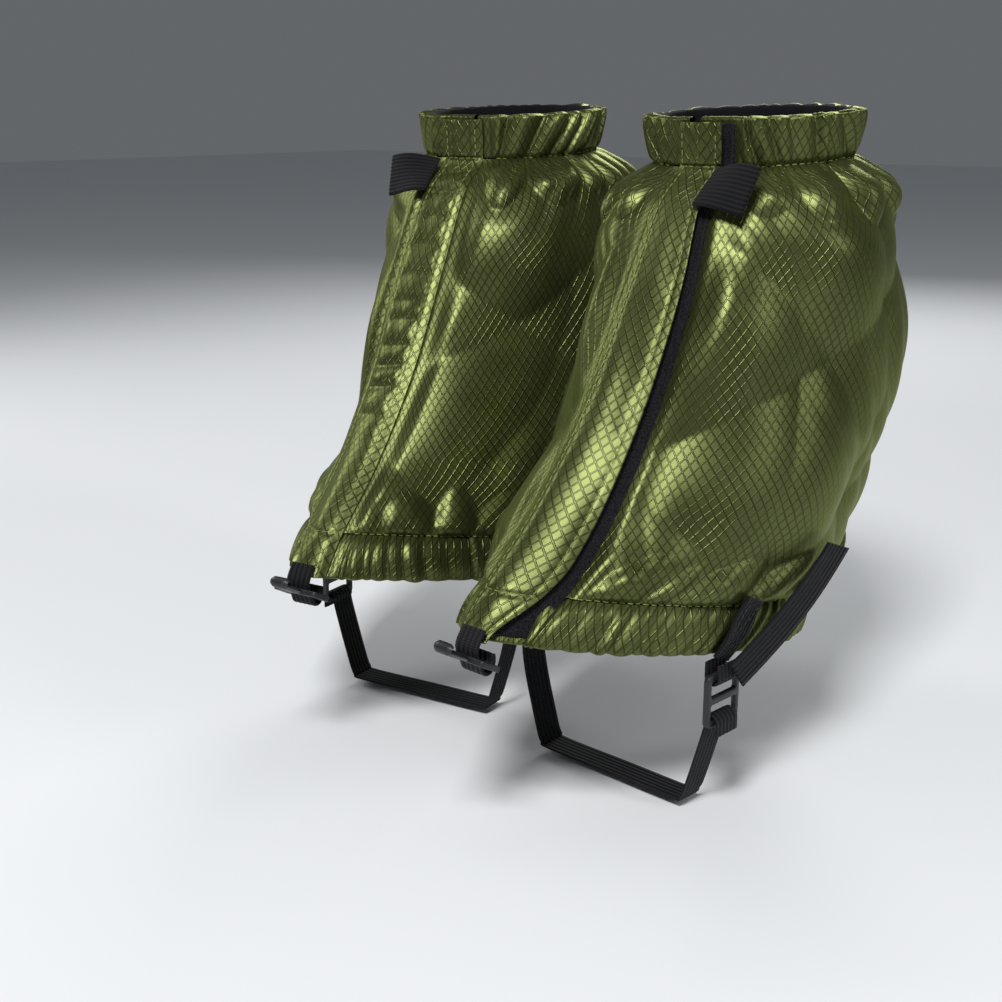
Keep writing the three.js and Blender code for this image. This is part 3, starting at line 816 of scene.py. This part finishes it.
def make_straps(side):
    reach = BUCKLE_SIZE[2] / 2 + 1.5
    out = np.array([1.0, 0, 0])
    patch = [lerp(HEM_LOW, HEM_HIGH, s) + out * (1.4 + e)
             for s, e in ((-0.05, 0.6), (0.2, 1.6), (0.5, 2.2), (0.9, 1.9), (1.2, 2.4))]
    anchor = webbing(side, "anchor_webbing", spline(patch, 1.0), (0, 1, 0), 15, 1.6)
    place_piece(anchor, f"{side}_gaiter", "webbing", f"{side}_anchor_patch")
    bar = BUCKLE_TOP - BAR / 2
    loop = [np.array([BUCKLE_X - reach, STRAP_Y, LOOP_TOP + 3]), *half_turn(BUCKLE_X, bar, reach, -1),
            np.array([BUCKLE_X + reach - 0.6, STRAP_Y, LOOP_TOP + 2.5])]
    carrier = webbing(side, "carrier_webbing", spline(loop, 0.7), (0, 1, 0), 14, 1.2)
    place_piece(carrier, f"{side}_stirrup", "webbing", f"{side}_anchor_loop")
    low = BUCKLE_TOP - BUCKLE_SIZE[1] + BAR / 2
    inner = -HEM_LOW[0] - 0.8
    under = [(inner, LOOP_TOP + 2), (inner + 1.5, 40), (-SOLE_HALF - 4.5, 12),
             (-SOLE_HALF - 1.6, STRAP_UNDER + 1.6), (-SOLE_HALF + 2, STRAP_UNDER),
             (0, STRAP_UNDER), (SOLE_HALF - 2, STRAP_UNDER),
             (SOLE_HALF + 1.6, STRAP_UNDER + 1.6), (SOLE_HALF + 4.5, 12), (BUCKLE_X - reach, low - 4)]
    path = [np.array([x, STRAP_Y, z]) for x, z in under] + half_turn(BUCKLE_X, low, reach, 1)
    path.append(np.array([BUCKLE_X + reach, STRAP_Y, low - 5]))
    stirrup = webbing(side, "stirrup_webbing", spline(path, 1.0), (0, 1, 0), 14, 1.2)
    place_piece(stirrup, f"{side}_stirrup", "webbing", f"{side}_understrap")
    root = np.array([BUCKLE_X + 5.4, STRAP_Y + 2, BUCKLE_TOP - 1.5])
    tip = np.array([65.5, -2.0, 106.0])
    rise = tip - root
    tail_path = [root + rise * t + np.array([3.0 * math.sin(math.pi * t), 0, 0])
                 for t in np.linspace(0, 1, 6)]
    tail = webbing(side, "tail_webbing", spline(tail_path, 1.0), np.cross(rise, out), 15, 1.6, slant=9.0)
    place_piece(tail, f"{side}_tail", "webbing", f"{side}_strap_tail")
    inside = []
    for share, extra in ((0.06, 0.6), (0.5, 1.4), (1.05, 1.6)):
        p = lerp(HEM_LOW, HEM_HIGH, share)
        inside.append(np.array([-p[0] - 1.4 - extra, p[1], p[2]]))
    back = webbing(side, "inner_webbing", spline(inside, 1.0), (0, 1, 0), 15, 1.6)
    place_piece(back, f"{side}_gaiter", "webbing", f"{side}_inner_patch")
    box_stitch(side, patch)


def box_stitch(side, patch):
    """A stitched box with one diagonal where the webbing is sewn to the hem."""
    low, high = patch[1] + (1.1, 0, 0), patch[4] + (1.1, 0, 0)
    corner = lambda dy, t: lerp(low, high, t) + np.array([0, dy, 0])
    a, b, c, d = corner(-5.5, 0.08), corner(5.5, 0.08), corner(5.5, 0.92), corner(-5.5, 0.92)
    lines = [spline([p, lerp(p, q, 0.5), q], 1.0) for p, q in ((a, b), (b, c), (c, d), (d, a), (a, c))]
    seams = beads(side, "strap_stitching", lines, 1.9, 0.8, 0.2, "dark_thread")
    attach(seams, f"{side}_gaiter")


def make_tab(side):
    """The elastic pull tab, sewn to the flap under the collar, that turns upright as it stands out."""
    low, high = skin(angle_at(12, 5), 5), skin(angle_at(12, COLLAR_SEAM), COLLAR_SEAM)
    slope = unit(high - low)
    out = unit(np.cross(slope, (-1.0, 0, 0)))
    root = lerp(low, high, 0.5) + out * 2.6 - slope * 3 + np.array([0.5, 0, 0])
    t = np.linspace(0, 1, 6)
    lift = out * (1.6 * np.sin(np.pi * np.clip(t, 0, 1)))[:, None]
    path = root + np.array([1.0, 0, 0]) * (22 * t)[:, None] + lift - slope * (1.5 * t)[:, None]
    path = spline(path, 0.8)
    upright = smooth(np.linspace(0, 1, len(path)), 0.0, 0.9)[:, None] * 0.75
    across = slope * (1 - upright) + np.array([0, 0.25, 0.97]) * upright
    tab = webbing(side, "tab_elastic", path, across, 20, 2.0, 11, LOOKS["tab"])
    place_piece(tab, f"{side}_tab", "webbing", f"{side}_pull_tab")


def rounded(corners, radius, steps=6):
    """An outline with its corners rounded off."""
    corners = np.asarray(corners, float)
    out = []
    for k in range(len(corners)):
        before, here, after = corners[k - 1], corners[k], corners[(k + 1) % len(corners)]
        r = min(radius, np.linalg.norm(before - here) / 2.2, np.linalg.norm(after - here) / 2.2)
        start, end = here + unit(before - here) * r, here + unit(after - here) * r
        for t in np.linspace(0, 1, steps):
            out.append((1 - t) ** 2 * start + 2 * t * (1 - t) * here + t * t * end)
    return out


def plate(side, name, outlines, depth, bevel, place, look):
    """A flat plastic plate with windows and soft edges; place moves its x, y, z mm to the gaiter."""
    curve = bpy.data.curves.new(name, "CURVE")
    curve.dimensions, curve.fill_mode = "2D", "BOTH"
    curve.extrude, curve.bevel_depth = depth / 2 - bevel, bevel
    curve.bevel_resolution, curve.offset = 3, -bevel
    for outline in outlines:
        line = curve.splines.new("POLY")
        line.points.add(len(outline) - 1)
        for point, (x, y) in zip(line.points, outline):
            point.co = (x, y, 0, 1)
        line.use_cyclic_u = True
    shape = bpy.data.objects.new(name, curve)
    bpy.context.scene.collection.objects.link(shape)
    bpy.context.view_layer.update()
    graph = bpy.context.evaluated_depsgraph_get()
    mesh = bpy.data.meshes.new_from_object(shape.evaluated_get(graph), depsgraph=graph)
    bpy.data.objects.remove(shape)
    points = place(np.array([v.co for v in mesh.vertices]))
    faces = [tuple(f.vertices) for f in mesh.polygons]
    piece = add_mesh(side, name, points, faces, points[:, :2], [look])
    work = bmesh.new()
    work.from_mesh(piece.data)
    bmesh.ops.remove_doubles(work, verts=work.verts, dist=1e-6)
    bmesh.ops.recalc_face_normals(work, faces=work.faces)
    work.to_mesh(piece.data)
    work.free()
    piece.data.set_sharp_from_angle(angle=math.radians(40))
    return piece


def box_outline(x0, y0, x1, y1, radius):
    return rounded([(x0, y0), (x1, y0), (x1, y1), (x0, y1)], radius)


def make_buckle(side):
    w, h, d = BUCKLE_SIZE
    slot = (h - 3 * BAR) / 2
    outlines = [box_outline(-w / 2, 0, w / 2, h, 3.0)]
    for low in (BAR, 2 * BAR + slot):
        outlines.append(box_outline(-w / 2 + 2.4, low, w / 2 - 2.4, low + slot, 1.0))

    def stand(p):
        bow = 0.5 * np.cos(p[:, 0] / (w / 2) * math.pi / 2)
        return np.stack([BUCKLE_X + p[:, 2] + bow, STRAP_Y + p[:, 0], BUCKLE_TOP - h + p[:, 1]], -1)
    piece = plate(side, "slider_buckle", outlines, d - 0.6, 0.7, stand, LOOKS["buckle"])
    place_piece(piece, f"{side}_stirrup", "buckle_plastic", f"{side}_buckle")


HOOK_AT = np.array([1.5, -147.0, 76.0])
HOOK_TILT = math.radians(-28)


def hook_frame(p):
    """From the flat hook (x across, y down its tongue, z up out of it) to the gaiter's own frame."""
    a = math.pi + HOOK_TILT
    x, y, z = p[:, 0], p[:, 1], p[:, 2]
    turned = [x, y * math.cos(a) - z * math.sin(a), y * math.sin(a) + z * math.cos(a)]
    return np.stack(turned, -1) + HOOK_AT


def make_hook(side):
    body = box_outline(-11, -1.5, 11, 9.5, 1.8)
    window = box_outline(-8.4, 1.5, 8.4, 6.7, 0.8)
    hook = plate(side, "lace_hook_plate", [body, window], 2.4, 0.6, hook_frame, LOOKS["hook"])
    t = np.linspace(0, 1, 26)
    reach = np.where(t < 0.6, 8.5 + 11.0 * t / 0.6, 19.5 + 0.9 * np.sin((t - 0.6) / 0.4 * math.pi))
    curl = np.where(t < 0.6, 0, -2.3 * (1 - np.cos((t - 0.6) / 0.4 * math.pi)) / 2)
    path = hook_frame(np.stack([np.zeros_like(t), reach, curl], -1))
    lip = webbing(side, "lace_hook_tongue", path, (1, 0, 0), 9.0, 2.3, 1, LOOKS["hook"])
    lip.data.set_sharp_from_angle(angle=math.radians(50))
    place_piece(hook, f"{side}_hook", "hook_plastic", f"{side}_lace_hook")
    place_piece(lip, f"{side}_hook", "hook_plastic")
    keeper = [(1.5, -148.4, 90), (1.5, -152.4, 83), (1.5, -150.2, 76.5), (1.5, -148.6, 73),
              (1.5, -145.4, 73), (1.5, -143.6, 76.5), (1.5, -143.6, 79.5)]
    strap = webbing(side, "keeper_webbing", spline(keeper, 0.7), (1, 0, 0), 12, 1.2, 5)
    place_piece(strap, f"{side}_front", "webbing", f"{side}_hook_keeper")


def make_seams(side, shell, collar):
    """Stitch rows round the two seams of the body, just beside the gathered edge."""
    out = normals_of(shell) * 0.1
    first, last = int(0.09 * shell.shape[1]), int(0.97 * shell.shape[1])
    lines = [(shell + out)[-1, first:last], (shell + out)[0, first:last]]
    edge = collar + normals_of(collar) * 0.1
    lines.append(edge[13, int(0.09 * collar.shape[1]):int(0.97 * collar.shape[1])])
    seams = beads(side, "seam_stitching", lines)
    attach(seams, f"{side}_gaiter")


# ---- build --------------------------------------------------------------------------------------
SEEDS = {"left": 11, "right": 47}
PUCKERS = {"left": (0.6, 24.0), "right": (2.3, 12.5)}
COLLAR_GATHERS = {side: Gathers(seed + 1, 27) for side, seed in SEEDS.items()}
HEM_GATHERS = {side: Gathers(seed + 2, 66, 0.55) for side, seed in SEEDS.items()}
LOOKS = {
    "ripstop": ripstop_material(),
    "lining": black_cloth_material(),
    "elastic": webbing_material("black_elastic", 10, 14),
    "webbing": webbing_material(),
    "tab": webbing_material("black_tab_elastic", 11, 20, 0.75),
    "hook_and_loop": hook_loop_material(),
    "buckle": plastic_material("charcoal_buckle", (0.018, 0.019, 0.021), 0.42),
    "hook": plastic_material("charcoal_hook", (0.014, 0.015, 0.017), 0.38),
    "thread": thread_material("olive_thread", (0.12, 0.15, 0.03), (0.26, 0.31, 0.08)),
    "dark_thread": thread_material("black_thread", (0.008, 0.008, 0.01), (0.03, 0.03, 0.035)),
}

for side in STANCE:
    shell = make_shell(side)
    collar = make_casing(side, "collar_casing", COLLAR_TOP, COLLAR_SEAM, COLLAR_GATHERS[side],
                         5.4, 0.42, 520)
    make_casing(side, "hem_casing", 0, HEM_SEAM, HEM_GATHERS[side], 2.9, 0.5, 900)
    make_elastic(side, "collar_elastic", COLLAR_TOP, COLLAR_SEAM)
    make_elastic(side, "hem_elastic", 0, HEM_SEAM)
    make_seams(side, shell, collar)
    make_flap(side)
    make_tape(side, "hook_tape", f"{side}_front", FLAP_ROOT + 3, hook_edge, 1.5, False)
    make_tape(side, "loop_tape", f"{side}_gaiter", UNDERLAP_END + 1, loop_edge, 2.9, True)
    make_straps(side)
    make_tab(side)
    make_buckle(side)
    make_hook(side)
add_camera()
add_studio()
{"cad": CAD_BOX, "blender": [list(corner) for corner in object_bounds()]}
